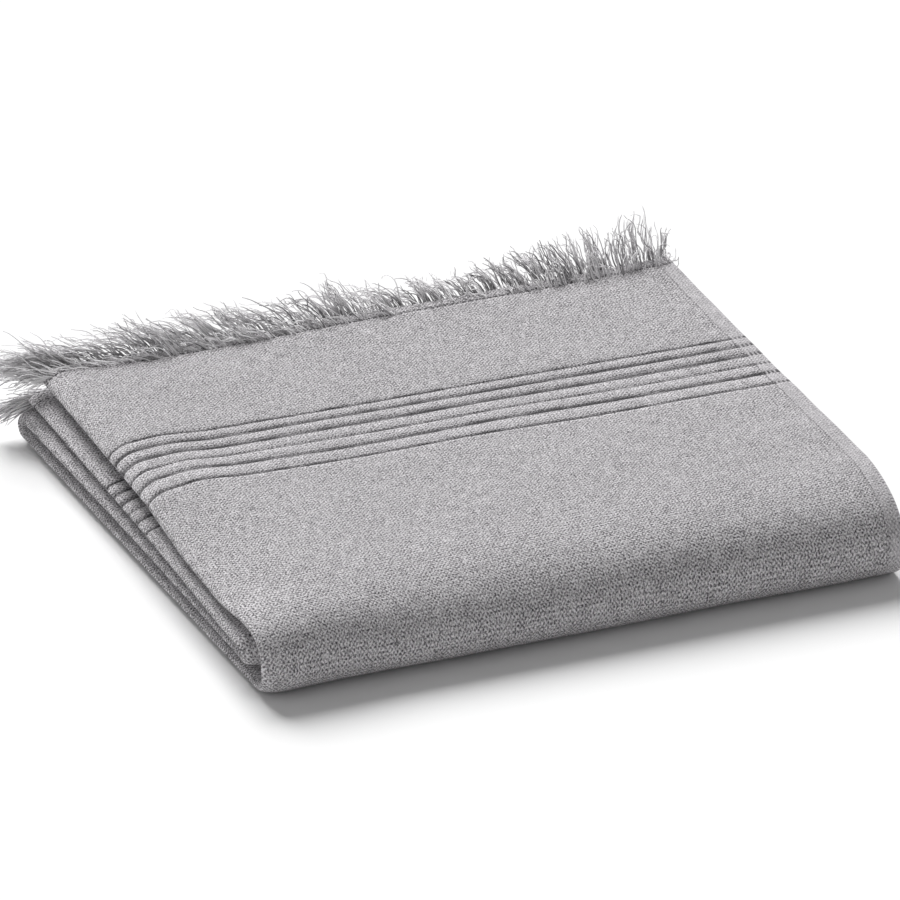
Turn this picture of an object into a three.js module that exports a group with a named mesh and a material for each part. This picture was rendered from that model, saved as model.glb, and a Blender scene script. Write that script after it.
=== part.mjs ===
// A fringed bath sheet, folded for the shelf.
//
// The sheet is folded in half across its width, so that every layer is a pair of plies joined by a
// closed fold on the left, with the two selvedges free on the right. The pair is then folded in half
// and in half again along its length: top layer, round the front to the bottom layer, round the back
// to the third layer, and round inside the front to the second layer, which ends under the top one.
//
// Lengths are in millimetres. The origin is the middle of the face that rests on the shelf, +X points
// to the selvedges, +Y to the fringed back and +Z up.
import * as THREE from 'three';

// Driving dimensions of the folded cloth
const FOLDED_WIDTH = 450;
const CLOTH_THICKNESS = 3.8;
const PAIR_HALF_HEIGHT = 5.5;
const LEFT_FOLD_DEPTH = 18;
const FOLD_STEPS = 8;
const PLY_STEPS = 6;
const PLY_MIDDLE = PAIR_HALF_HEIGHT - CLOTH_THICKNESS / 2;
const FRONT_END = -208;
const TOP_HEM = 195.5;
const UNDER_HEM = 194;

// Heights of the middle of each folded pair
const BOTTOM_LEVEL = PAIR_HALF_HEIGHT;
const TOP_HEM_LEVEL = 44.4;
const TOP_CREST_LEVEL = 51.5;
const THIRD_BACK_LEVEL = 18.5;
const THIRD_MIDDLE_LEVEL = 22;
const THIRD_FRONT_LEVEL = 18.5;
const SECOND_FRONT_LEVEL = 34;
const SECOND_MIDDLE_LEVEL = 36.8;
const SECOND_HEM_LEVEL = 31.6;

// The folds: where they start and how far they reach
const CREST_AT = -135;
const NOSE_LEVEL = 22;
const NOSE_LOWER_LENGTH = 20;
const BACK_FOLD_AT = 190;
const INNER_FOLD_AT = -170;

// How the stack leans: higher to the right, its hems further forward there, and slightly wavy
const HEIGHT_LEAN = 0.05;
const HEM_SKEW = 7.5;
const HEM_CORNER_PULL = 9;
const HEM_CORNER_START = -150;
const FRONT_PULL = 2.6;

// Two slow waves over the stack. Their turns are in radians, across the stack from its middle to its edge
// and back from its front to its hem, and their height is a share of the level.
const WAVE_HEIGHT = 0.012;
const LONG_WAVE = { across: 4.1, back: 3.2 };
const CROSS_WAVE = { across: 2.3, back: -2.6 };

// The fringe
const PARTING_GAP = 0.3;
const ROOT_BAND = 5;
const ROOT_BAND_THICKNESS = 2.4;
const LOCK_WIDTH = 1.9;
const LOCK_STEPS = 3;
const LOCK_TAPER = 0.6;
const FOLD_LOCK_SHARE = 0.6;

// A lock's bend, as shares of its length: how far straight back it lies, and how far to the left
const BEND_BACK = 0.36;
const BEND_ASIDE = 0.1;

// How unlike the locks are: every other one lies higher, they lean in clumps, and each differs by chance.
// Lifts and leans are in degrees, spans in millimetres and the length as a share.
const SHEET_LIFT = 7;
const CLUMP_LEAN = 5;
const CLUMP_SPAN = 15;
const ANGLE_SPREAD = 3;
const LENGTH_SPREAD = 0.14;

// Side edges of the folded pair along its run, a row for each end of a layer
const EDGES = [
  { at: 'top hem', left: -212, right: 229 },
  { at: 'top crest', left: -222, right: 225 },
  { at: 'nose', left: -221, right: 221 },
  { at: 'bottom front', left: -219.5, right: 222 },
  { at: 'bottom back', left: -227.5, right: 226 },
  { at: 'third back', left: -227.5, right: 223 },
  { at: 'third front', left: -221, right: 220 },
  { at: 'second front', left: -226, right: 224 },
  { at: 'second hem', left: -220, right: 227 },
];

// How the locks of each fringe lie. lean is in degrees to the left of straight back, lift in degrees
// above level, and both are given at places across the width.
const TOP_LIE = [
  { x: -214, lean: 78, lift: -4, length: 36 },
  { x: -190, lean: 50, lift: 18, length: 32 },
  { x: -60, lean: 34, lift: 38, length: 30 },
  { x: 60, lean: 28, lift: 46, length: 29 },
  { x: 150, lean: 18, lift: 58, length: 29 },
  { x: 215, lean: 4, lift: 70, length: 30 },
  { x: 229, lean: -22, lift: 62, length: 28 },
];
const UNDER_LIE = [
  { x: -220, lean: 84, lift: -12, length: 28 },
  { x: -190, lean: 46, lift: -14, length: 26 },
  { x: 0, lean: 20, lift: -10, length: 25 },
  { x: 227, lean: 4, lift: -12, length: 26 },
];
// lowerDrop is how many degrees lower the locks of the lower ply lie
const FRINGES = [
  { name: 'fringe_top', lie: TOP_LIE, upper: 92, fold: 4, lower: 40, lowerDrop: 20, seed: 11 },
  { name: 'fringe_under', lie: UNDER_LIE, upper: 52, fold: 4, lower: 40, lowerDrop: 22, seed: 29 },
];

// The run of the pair seen from the side, as curves in the plane of Y and Z
const halfTurn = Math.PI;
const quarterTurn = Math.PI / 2;
const noseMiddle = FRONT_END + PAIR_HALF_HEIGHT;
const noseUpperLength = CREST_AT - noseMiddle;
const noseLowerAt = noseMiddle + NOSE_LOWER_LENGTH;
const backFoldRadius = (THIRD_BACK_LEVEL - BOTTOM_LEVEL) / 2;
const innerFoldRadius = (SECOND_FRONT_LEVEL - THIRD_FRONT_LEVEL) / 2;
const spot = (y, z) => new THREE.Vector2(y, z);

const topLayer = new THREE.LineCurve(spot(TOP_HEM, TOP_HEM_LEVEL), spot(CREST_AT, TOP_CREST_LEVEL));
const noseUpper = new THREE.EllipseCurve(
  CREST_AT, NOSE_LEVEL, noseUpperLength, TOP_CREST_LEVEL - NOSE_LEVEL, quarterTurn, halfTurn, false);
const noseLower = new THREE.EllipseCurve(
  noseLowerAt, NOSE_LEVEL, NOSE_LOWER_LENGTH, NOSE_LEVEL - BOTTOM_LEVEL, halfTurn, 3 * quarterTurn, false);
const bottomLayer = new THREE.LineCurve(spot(noseLowerAt, BOTTOM_LEVEL), spot(BACK_FOLD_AT, BOTTOM_LEVEL));
const backFold = new THREE.EllipseCurve(
  BACK_FOLD_AT, BOTTOM_LEVEL + backFoldRadius, backFoldRadius, backFoldRadius,
  -quarterTurn, quarterTurn, false);
const thirdLayer = new THREE.QuadraticBezierCurve(
  spot(BACK_FOLD_AT, THIRD_BACK_LEVEL), spot(0, THIRD_MIDDLE_LEVEL), spot(INNER_FOLD_AT, THIRD_FRONT_LEVEL));
const innerFold = new THREE.EllipseCurve(
  INNER_FOLD_AT, THIRD_FRONT_LEVEL + innerFoldRadius, innerFoldRadius, innerFoldRadius,
  3 * quarterTurn, quarterTurn, true);
const secondLayer = new THREE.QuadraticBezierCurve(
  spot(INNER_FOLD_AT, SECOND_FRONT_LEVEL), spot(0, SECOND_MIDDLE_LEVEL), spot(UNDER_HEM, SECOND_HEM_LEVEL));

// The run in order, with the steps that each curve is divided into
const RUN = [
  { curve: topLayer, steps: 10 },
  { curve: noseUpper, steps: 8 },
  { curve: noseLower, steps: 6 },
  { curve: bottomLayer, steps: 8 },
  { curve: backFold, steps: 8 },
  { curve: thirdLayer, steps: 9 },
  { curve: innerFold, steps: 8 },
  { curve: secondLayer, steps: 10 },
];

// One place along the run: its point, the direction square to the cloth, and its side edges
function station(point, tangent, left, right) {
  return { y: point.x, z: point.y, normalY: tangent.y, normalZ: -tangent.x, left, right };
}

function clothStations() {
  const stations = [];
  RUN.forEach(({ curve, steps }, part) => {
    const lastStep = part === RUN.length - 1 ? steps : steps - 1;
    for (let step = 0; step <= lastStep; step += 1) {
      const along = step / steps;
      const left = THREE.MathUtils.lerp(EDGES[part].left, EDGES[part + 1].left, along);
      const right = THREE.MathUtils.lerp(EDGES[part].right, EDGES[part + 1].right, along);
      stations.push(station(curve.getPoint(along), curve.getTangent(along), left, right));
    }
  });
  return stations;
}

// Points on a straight stretch of the section, the last one left out
function stretch(fromX, toX, height, count) {
  return Array.from({ length: count }, (_, i) => ({
    x: THREE.MathUtils.lerp(fromX, toX, i / count),
    h: height,
  }));
}

// One face of the pair's section: along the upper ply, round the left fold and back along the lower ply,
// with a point on each ply where the pull into the hem's corner starts.
// x runs to the right and h away from the middle of the pair. The fold is half an ellipse.
function sectionFace(right, turnX, foldDepth, height) {
  const fold = Array.from({ length: FOLD_STEPS + 1 }, (_, i) => {
    const angle = quarterTurn * (1 - (2 * i) / FOLD_STEPS);
    return { x: turnX - foldDepth * Math.cos(angle), h: height * Math.sin(angle) };
  });
  return [
    ...stretch(right, HEM_CORNER_START, height, PLY_STEPS),
    { x: HEM_CORNER_START, h: height },
    ...fold,
    ...stretch(HEM_CORNER_START, right, -height, PLY_STEPS),
    { x: right, h: -height },
  ];
}

// The section of the pair across its width: its outer face, then its inner face back to the start
function pairSection(left, right) {
  const turnX = left + LEFT_FOLD_DEPTH;
  const outerFace = sectionFace(right, turnX, LEFT_FOLD_DEPTH, PAIR_HALF_HEIGHT);
  const innerFace = sectionFace(
    right, turnX, LEFT_FOLD_DEPTH - CLOTH_THICKNESS, PAIR_HALF_HEIGHT - CLOTH_THICKNESS);
  return [...outerFace, ...innerFace.reverse()];
}

// How the stack settles: it leans a little, its hems run askew and are pulled back at the left fold, its
// front is drawn in on the left, and its top is slightly wavy.
// Height is only scaled, so the face on the shelf stays flat.
function settle(point) {
  const across = point.x / (FOLDED_WIDTH / 2);
  const back = (point.y - FRONT_END) / (TOP_HEM - FRONT_END);
  const rise = point.z / TOP_CREST_LEVEL;
  const intoCorner = Math.max(0, (HEM_CORNER_START - point.x) / (HEM_CORNER_START + FOLDED_WIDTH / 2));
  const cornerPull = HEM_CORNER_PULL * rise * intoCorner * back ** 4;
  const frontPull = FRONT_PULL * ((1 - across) / 2) ** 2 * (1 - back);
  const longWave = Math.sin(LONG_WAVE.across * across + LONG_WAVE.back * back);
  const crossWave = Math.cos(CROSS_WAVE.across * across + CROSS_WAVE.back * back);
  const wave = WAVE_HEIGHT * longWave * crossWave;
  const height = point.z * (1 + HEIGHT_LEAN * across + wave);
  const level = Math.abs(height) < 1e-6 ? 0 : height;
  return new THREE.Vector3(point.x, point.y - HEM_SKEW * across * back + cornerPull + frontPull, level);
}

function geometryFrom(points, triangles) {
  const geometry = new THREE.BufferGeometry();
  geometry.setAttribute('position', new THREE.Float32BufferAttribute(points.flatMap((p) => [...p]), 3));
  geometry.setIndex(triangles.flat());
  geometry.computeVertexNormals();
  return geometry;
}

// Six times the volume, positive where the triangles face outwards
function signedVolume(points, triangles) {
  const cross = new THREE.Vector3();
  return triangles.reduce(
    (sum, [a, b, c]) => sum + points[a].dot(cross.crossVectors(points[b], points[c])), 0);
}

// Carries the section along the stations and closes both ends
function sweepPair(stations) {
  const sections = stations.map(({ left, right }) => pairSection(left, right));
  const around = sections[0].length;
  const points = stations.flatMap((place, i) => sections[i].map(({ x, h }) =>
    settle(new THREE.Vector3(x, place.y + h * place.normalY, place.z + h * place.normalZ))));
  const triangles = [];
  for (let i = 0; i < stations.length - 1; i += 1) {
    for (let k = 0; k < around; k += 1) {
      const next = (k + 1) % around;
      const a = i * around + k;
      const b = i * around + next;
      triangles.push([a, b, b + around], [a, b + around, a + around]);
    }
  }
  // Each end is closed by a strip between the outer face and the inner one
  const lastRing = (stations.length - 1) * around;
  for (let k = 0; k < around / 2 - 1; k += 1) {
    const [a, b, c, d] = [k, k + 1, around - 2 - k, around - 1 - k];
    triangles.push([c, b, a], [d, c, a]);
    triangles.push([a, b, c].map((n) => n + lastRing), [a, c, d].map((n) => n + lastRing));
  }
  if (signedVolume(points, triangles) < 0) {
    triangles.forEach((triangle) => triangle.reverse());
  }
  return geometryFrom(points, triangles);
}

// A repeatable source of unevenness between -1 and 1
function unevenness(seed) {
  let state = seed * 7919;
  return () => {
    state = (state * 16807) % 2147483647;
    return (state / 2147483647) * 2 - 1;
  };
}

// Reads a table of lie at a place across the width
function lieAt(table, x) {
  const after = table.findIndex((row) => row.x >= x);
  if (after < 1) {
    return after === 0 ? table[0] : table[table.length - 1];
  }
  const [before, next] = [table[after - 1], table[after]];
  const share = (x - before.x) / (next.x - before.x);
  const mix = (column) => THREE.MathUtils.lerp(before[column], next[column], share);
  return { lean: mix('lean'), lift: mix('lift'), length: mix('length') };
}

// The line that the root band follows round the end of the pair, from the upper selvedge over the left
// fold to the lower selvedge. square is the direction through the cloth there.
function onUpperPly(x) {
  return { x, h: PLY_MIDDLE, square: new THREE.Vector2(0, 1), drop: 0 };
}

function onLowerPly(x) {
  return { x, h: -PLY_MIDDLE, square: new THREE.Vector2(0, -1), drop: 1 };
}

function onFold(turnX, angle) {
  const depth = LEFT_FOLD_DEPTH - CLOTH_THICKNESS / 2;
  const square = new THREE.Vector2(-Math.cos(angle) / depth, Math.sin(angle) / PLY_MIDDLE).normalize();
  const drop = (1 - Math.sin(angle)) / 2;
  return { x: turnX - depth * Math.cos(angle), h: PLY_MIDDLE * Math.sin(angle), square, drop };
}

// The posts that divide the band: each lock grows from the cell between its own two posts.
// upper, fold and lower are the numbers of locks on each ply and on the left fold.
function bandPosts({ left, right }, { upper, fold, lower }) {
  const turnX = left + LEFT_FOLD_DEPTH;
  const plyWidth = right - turnX;
  const posts = [{ ...onUpperPly(right), startsLock: false }];
  const addLock = (first, second) => {
    posts.push({ ...first, startsLock: true }, { ...second, startsLock: false });
  };
  for (let i = 0; i < upper; i += 1) {
    const x = right - (plyWidth * (i + 0.5)) / upper;
    addLock(onUpperPly(x + LOCK_WIDTH / 2), onUpperPly(x - LOCK_WIDTH / 2));
  }
  for (let i = 0; i < fold; i += 1) {
    const angle = quarterTurn * (1 - (2 * (i + 0.5)) / fold);
    const halfAngle = (FOLD_LOCK_SHARE * quarterTurn) / fold;
    addLock(onFold(turnX, angle + halfAngle), onFold(turnX, angle - halfAngle));
  }
  for (let i = 0; i < lower; i += 1) {
    const x = turnX + (plyWidth * (i + 0.5)) / lower;
    addLock(onLowerPly(x - LOCK_WIDTH / 2), onLowerPly(x + LOCK_WIDTH / 2));
  }
  posts.push({ ...onLowerPly(right), startsLock: false });
  return posts;
}

// The curve of one lock: it leaves its root straight back, then turns to its lie
function lockCurve(root, lean, lift, length, bow) {
  const leanAngle = THREE.MathUtils.degToRad(lean);
  const liftAngle = THREE.MathUtils.degToRad(lift);
  const level = Math.cos(liftAngle);
  const away = new THREE.Vector3(
    -Math.sin(leanAngle) * level, Math.cos(leanAngle) * level, Math.sin(liftAngle));
  const tip = root.clone().addScaledVector(away, length);
  const aside = bow - BEND_ASIDE * length * Math.sin(leanAngle);
  const bend = root.clone().add(new THREE.Vector3(aside, BEND_BACK * length, 0));
  return new THREE.QuadraticBezierCurve3(root, bend, tip);
}

// A fringe: a narrow root band that follows the end of the pair, with the locks grown from its far face
function fringeGeometry(fringe, end) {
  const bandStart = end.y + PARTING_GAP;
  const bandEnd = bandStart + ROOT_BAND;
  const uneven = unevenness(fringe.seed);
  const posts = bandPosts(end, fringe);
  const points = posts.flatMap(({ x, h, square }) => {
    const corner = (y, side) => {
      const out = side * ROOT_BAND_THICKNESS / 2;
      return new THREE.Vector3(x + out * square.x, y, end.z + h + out * square.y);
    };
    return [corner(bandStart, 1), corner(bandEnd, 1), corner(bandEnd, -1), corner(bandStart, -1)];
  });
  const triangles = [];
  const addQuad = (a, b, c, d) => triangles.push([a, b, c], [a, c, d]);
  let locks = 0;
  posts.slice(0, -1).forEach((post, i) => {
    const near = 4 * i;
    const far = near + 4;
    addQuad(near, near + 1, far + 1, far);
    addQuad(near + 2, near + 3, far + 3, far + 2);
    addQuad(near + 3, near, far, far + 3);
    if (!post.startsLock) {
      addQuad(near + 1, near + 2, far + 2, far + 1);
      return;
    }
    const laid = lieAt(fringe.lie, post.x);
    const sheet = locks % 2 === 0 ? SHEET_LIFT : -SHEET_LIFT;
    locks += 1;
    const clump = CLUMP_LEAN * Math.sin(post.x / CLUMP_SPAN + fringe.seed);
    const lean = laid.lean + clump + ANGLE_SPREAD * uneven();
    const lift = laid.lift - fringe.lowerDrop * post.drop + sheet + ANGLE_SPREAD * uneven();
    const length = laid.length * (1 + LENGTH_SPREAD * uneven());
    let ring = [near + 1, near + 2, far + 2, far + 1];
    const root = ring.reduce((sum, k) => sum.add(points[k]), new THREE.Vector3()).divideScalar(ring.length);
    const corners = ring.map((k) => points[k].clone().sub(root));
    const curve = lockCurve(root, lean, lift, length, uneven());
    const turn = new THREE.Quaternion();
    for (let step = 1; step < LOCK_STEPS; step += 1) {
      const along = step / LOCK_STEPS;
      turn.setFromUnitVectors(new THREE.Vector3(0, 1, 0), curve.getTangent(along));
      const first = points.length;
      const centre = curve.getPoint(along);
      corners.forEach((corner) => points.push(
        corner.clone().multiplyScalar(1 - LOCK_TAPER * along).applyQuaternion(turn).add(centre)));
      const next = corners.map((_, k) => first + k);
      ring.forEach((_, k) => addQuad(ring[k], ring[(k + 1) % 4], next[(k + 1) % 4], next[k]));
      ring = next;
    }
    points.push(curve.getPoint(1));
    ring.forEach((_, k) => triangles.push([ring[k], ring[(k + 1) % 4], points.length - 1]));
  });
  const last = 4 * (posts.length - 1);
  addQuad(3, 2, 1, 0);
  addQuad(last, last + 1, last + 2, last + 3);
  const settled = points.map(settle);
  if (signedVolume(settled, triangles) < 0) {
    triangles.forEach((triangle) => triangle.reverse());
  }
  return geometryFrom(settled, triangles);
}

function namedMesh(name, geometry, material) {
  const mesh = new THREE.Mesh(geometry, material);
  mesh.name = name;
  return mesh;
}

const woven = new THREE.MeshStandardMaterial({ color: 0xb4b2b5, roughness: 0.95, metalness: 0 });
const topThreads = new THREE.MeshStandardMaterial({ color: 0xa9a7ab, roughness: 0.9, metalness: 0 });
const underThreads = new THREE.MeshStandardMaterial({ color: 0x8e8b90, roughness: 0.9, metalness: 0 });

const stations = clothStations();
const [topFringe, underFringe] = FRINGES;
const topEnd = stations[0];
const underEnd = stations[stations.length - 1];

const bathSheet = new THREE.Group();
bathSheet.add(namedMesh('cloth', sweepPair(stations), woven));
bathSheet.add(namedMesh(topFringe.name, fringeGeometry(topFringe, topEnd), topThreads));
bathSheet.add(namedMesh(underFringe.name, fringeGeometry(underFringe, underEnd), underThreads));

export default bathSheet;
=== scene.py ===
# %% [markdown]
# A fringed bath sheet, folded for the shelf
#
# This lesson dresses a bath sheet that lies folded on a shelf. The sheet is one piece of cloth, 0.90 m wide
# and 1.58 m long, with a hem, a band of woven stripes and a loose fringe at each end. It is folded in half
# across its width, so that every layer is a pair of plies with a closed fold on the left, and then in half
# and in half again along its length.
#
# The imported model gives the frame: the same cloth as a plain solid, and the two fringes as coarse locks.
# Each is replaced by a finer piece of the same form. Lengths are in millimetres until a mesh is made.

import bpy
import numpy as np
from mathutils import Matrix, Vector


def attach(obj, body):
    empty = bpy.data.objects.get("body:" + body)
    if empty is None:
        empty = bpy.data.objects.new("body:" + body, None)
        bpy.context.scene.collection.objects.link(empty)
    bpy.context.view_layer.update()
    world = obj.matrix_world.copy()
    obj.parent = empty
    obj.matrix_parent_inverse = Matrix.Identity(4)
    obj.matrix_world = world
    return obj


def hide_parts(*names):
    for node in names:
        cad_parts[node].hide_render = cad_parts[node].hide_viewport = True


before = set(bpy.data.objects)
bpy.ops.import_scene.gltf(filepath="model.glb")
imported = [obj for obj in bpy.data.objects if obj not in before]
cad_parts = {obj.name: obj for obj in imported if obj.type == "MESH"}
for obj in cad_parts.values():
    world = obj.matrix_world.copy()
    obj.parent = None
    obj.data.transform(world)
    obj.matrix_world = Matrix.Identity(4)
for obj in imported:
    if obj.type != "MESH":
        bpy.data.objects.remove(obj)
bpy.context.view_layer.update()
MM = 0.001
print("the frame holds", sorted(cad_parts))

# %% [markdown]
# The camera
#
# The picture was taken with a long lens, because lines that are parallel on the cloth stay parallel in it.
# A camera 9 m away, turned 23 degrees to the left of the front and raised 27 degrees, gives the same lines.
# The lens then sets the scale: 1.539 pixels for each millimetre in a square picture of 900 pixels.

# %% Place the camera
CAMERA_TURN = np.radians(-23.0)
CAMERA_RISE = np.radians(27.0)
CAMERA_DISTANCE = 9.0
PICTURE_SIDE = 900
PIXELS_PER_METRE = 1539
LOOK_AT = Vector((-0.0031, 0.0084, 0.0399))

away = Vector((
    np.sin(CAMERA_TURN) * np.cos(CAMERA_RISE),
    -np.cos(CAMERA_TURN) * np.cos(CAMERA_RISE),
    np.sin(CAMERA_RISE),
))
camera_data = bpy.data.cameras.new("camera")
camera_data.sensor_width = 36
camera_data.lens = camera_data.sensor_width * CAMERA_DISTANCE * PIXELS_PER_METRE / PICTURE_SIDE
camera_data.clip_end = 100
camera = bpy.data.objects.new("camera", camera_data)
camera.location = LOOK_AT + away * CAMERA_DISTANCE
camera.rotation_euler = away.to_track_quat("Z", "Y").to_euler()
bpy.context.scene.collection.objects.link(camera)
bpy.context.scene.camera = camera
print("lens in millimetres:", round(camera_data.lens))

# %% [markdown]
# Soft studio light
#
# The top of the cloth is more than twice as bright as the front fold, the left folds lie in the shade of the
# top layer, and nothing throws a hard shadow. So one wide, soft light stands behind the cloth at half height,
# and the front is lit by what the pale floor, the white room and a low white board at the front left send
# back. Sun lamps are used, as they light the floor evenly however far it reaches.

# %% Colours and lamps
def colour(hex_code):
    """sRGB hex to linear red, green, blue and full alpha: each channel goes through the sRGB curve."""
    channels = np.array([int(hex_code[i:i + 2], 16) for i in (0, 2, 4)]) / 255
    linear = np.where(channels <= 0.04045, channels / 12.92, ((channels + 0.055) / 1.055) ** 2.4)
    return (*linear.tolist(), 1.0)


def sun(name, strength, softness, rise, turn):
    """A sun lamp of that angular size, in degrees, at that height and turn round the cloth."""
    lamp = bpy.data.lights.new(name, "SUN")
    lamp.energy = strength
    lamp.angle = np.radians(softness)
    rise, turn = np.radians((rise, turn))
    toward = Vector((np.sin(turn) * np.cos(rise), -np.cos(turn) * np.cos(rise), np.sin(rise)))
    holder = bpy.data.objects.new(name, lamp)
    holder.rotation_euler = toward.to_track_quat("Z", "Y").to_euler()
    bpy.context.scene.collection.objects.link(holder)
    print("lamp:", name, "of strength", strength)


sun("light behind", strength=3.95, softness=38, rise=44, turn=177)
sun("white board at the front left", strength=0.4, softness=100, rise=10, turn=-65)

# %% The white room
SKY_STRENGTH = 0.24

world = bpy.data.worlds.new("studio")
world.use_nodes = True
world.node_tree.nodes["Background"].inputs["Color"].default_value = colour("ffffff")
world.node_tree.nodes["Background"].inputs["Strength"].default_value = SKY_STRENGTH
bpy.context.scene.world = world
bpy.context.scene.view_settings.view_transform = "Standard"
print("the room gives back", SKY_STRENGTH, "from every side")

# %% [markdown]
# The floor, and materials from nodes
#
# Every finish is a small network of nodes, so it needs no picture and can be looked at from any distance. One
# function adds a node, sets it and links it, and all materials are put together with it.
#
# The floor is a sheet of board, rolled with matt white paint. It gives back a soft light from below and shows
# no gloss. The paint is a little uneven, in patches of about 30 cm. The board is far wider than the view, so
# that no edge shows.

# %% Painted board for the floor
def add(tree, kind, settings=None, links=None):
    """Adds a node. settings are its properties and input values, links its inputs and what feeds them, which
    is an output or a node, of which the first output is taken."""
    node = tree.nodes.new(kind)
    for name, value in (settings or {}).items():
        if isinstance(name, str) and hasattr(node, name):
            setattr(node, name, value)
        else:
            node.inputs[name].default_value = value
    for name, source in (links or {}).items():
        output = source.outputs[0] if isinstance(source, bpy.types.Node) else source
        tree.links.new(output, node.inputs[name])
    return node


def new_material(name):
    """A material without nodes, and its node tree."""
    material = bpy.data.materials.new(name)
    material.use_nodes = True
    material.node_tree.nodes.clear()
    return material, material.node_tree


FLOOR_REACH = 60.0
PATCHES_PER_METRE = 3.0

painted_board, tree = new_material("painted board")
place = add(tree, "ShaderNodeTexCoord").outputs["Object"]
mottle = add(tree, "ShaderNodeTexNoise", {"Scale": PATCHES_PER_METRE, "Detail": 2.0}, {"Vector": place})
paint = add(tree, "ShaderNodeMix", {"data_type": "RGBA", 6: colour("f3f3f3"), 7: colour("f6f6f6")},
            {0: mottle})
board = add(tree, "ShaderNodeBsdfPrincipled", {"Roughness": 0.9}, {"Base Color": paint.outputs[2]})
add(tree, "ShaderNodeOutputMaterial", links={"Surface": board})

floor_mesh = bpy.data.meshes.new("floor")
corners = FLOOR_REACH * np.array([(-1, -1, 0), (1, -1, 0), (1, 1, 0), (-1, 1, 0)])
floor_mesh.from_pydata(corners.tolist(), [], [(0, 1, 2, 3)])
floor_mesh.materials.append(painted_board)
floor = bpy.data.objects.new("floor", floor_mesh)
bpy.context.scene.collection.objects.link(floor)
print("the floor is", round(floor.dimensions.x), "m wide")

# %% [markdown]
# The run of the folds
#
# Seen from the side, the middle of the folded cloth is one line that goes back and forth: from the top hem
# along the top layer, round the big front fold, along the shelf, round the back fold, forward along the third
# layer, round the inner front fold and back along the second layer to the other hem. The line is put together
# from straights, arcs of ellipses and gentle curves, sampled finely, and then read by its own length, because
# that length is the place on the flat cloth. The pattern of the weave can then follow the cloth.

# %% Sizes and levels of the folds
PAIR_HALF_HEIGHT = 5.5
CLOTH_THICKNESS = 3.8
HALF_THICKNESS = CLOTH_THICKNESS / 2
PLY_MIDDLE = PAIR_HALF_HEIGHT - HALF_THICKNESS
LEFT_FOLD_DEPTH = 18
FRONT_END = -208
TOP_HEM = 197
TOP_MIDDLE = 0
TOP_FRONT = -70
CREST_AT = -135
UNDER_HEM = 194
UNDER_STRIPES = 55
SECOND_MIDDLE = -60
THIRD_MIDDLE = 0
BACK_FOLD_AT = 190
INNER_FOLD_AT = -170

BOTTOM_LEVEL = PAIR_HALF_HEIGHT
TOP_HEM_LEVEL = 44.4
TOP_CREST_LEVEL = 51.5
THIRD_BACK_LEVEL = 18.5
THIRD_MIDDLE_LEVEL = 22
THIRD_FRONT_LEVEL = 18.5
SECOND_FRONT_LEVEL = 34
SECOND_MIDDLE_LEVEL = 36.2
SECOND_STRIPES_LEVEL = 34.4
SECOND_HEM_LEVEL = 31.6
NOSE_LEVEL = 22
NOSE_LOWER_LENGTH = 20
print("the stack is", TOP_HEM - FRONT_END, "mm deep and", TOP_CREST_LEVEL + PAIR_HALF_HEIGHT, "mm high")


# %% The line of the run
def straight(start, end):
    """Points from start to end, as a function of a share from 0 to 1."""
    return lambda share: np.outer(1 - share, start) + np.outer(share, end)


def arc(centre, radii, turn_from, turn_to):
    """Points on an ellipse: centre plus radii times the cosine and sine of the turn, in quarter turns."""
    def points(share):
        turn = (turn_from + (turn_to - turn_from) * share) * np.pi / 2
        return np.array(centre) + np.stack([np.cos(turn), np.sin(turn)], 1) * np.array(radii)
    return points


def bow(start, pull, end):
    """A quadratic curve from start to end that is drawn towards pull."""
    return lambda share: (np.outer((1 - share) ** 2, start) + np.outer(2 * share * (1 - share), pull)
                          + np.outer(share ** 2, end))


nose_middle = FRONT_END + PAIR_HALF_HEIGHT
nose_lower_at = nose_middle + NOSE_LOWER_LENGTH
back_radius = (THIRD_BACK_LEVEL - BOTTOM_LEVEL) / 2
inner_radius = (SECOND_FRONT_LEVEL - THIRD_FRONT_LEVEL) / 2
top_slope = (TOP_CREST_LEVEL - TOP_HEM_LEVEL) / (CREST_AT - TOP_HEM)
top_places = [(y, TOP_HEM_LEVEL + top_slope * (y - TOP_HEM))
              for y in (TOP_HEM, TOP_MIDDLE, TOP_FRONT, CREST_AT)]
RUN = [
    *(straight(start, end) for start, end in zip(top_places, top_places[1:])),
    arc((CREST_AT, NOSE_LEVEL), (CREST_AT - nose_middle, TOP_CREST_LEVEL - NOSE_LEVEL), 1, 2),
    arc((nose_lower_at, NOSE_LEVEL), (NOSE_LOWER_LENGTH, NOSE_LEVEL - BOTTOM_LEVEL), 2, 3),
    straight((nose_lower_at, BOTTOM_LEVEL), (BACK_FOLD_AT, BOTTOM_LEVEL)),
    arc((BACK_FOLD_AT, BOTTOM_LEVEL + back_radius), (back_radius, back_radius), -1, 1),
    bow((BACK_FOLD_AT, THIRD_BACK_LEVEL), (THIRD_MIDDLE, THIRD_MIDDLE_LEVEL),
        (INNER_FOLD_AT, THIRD_FRONT_LEVEL)),
    arc((INNER_FOLD_AT, THIRD_FRONT_LEVEL + inner_radius), (inner_radius, inner_radius), 3, 1),
    bow((INNER_FOLD_AT, SECOND_FRONT_LEVEL), (SECOND_MIDDLE, SECOND_MIDDLE_LEVEL),
        (UNDER_STRIPES, SECOND_STRIPES_LEVEL)),
    straight((UNDER_STRIPES, SECOND_STRIPES_LEVEL), (UNDER_HEM, SECOND_HEM_LEVEL)),
]
FINE_STEPS = 600

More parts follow.
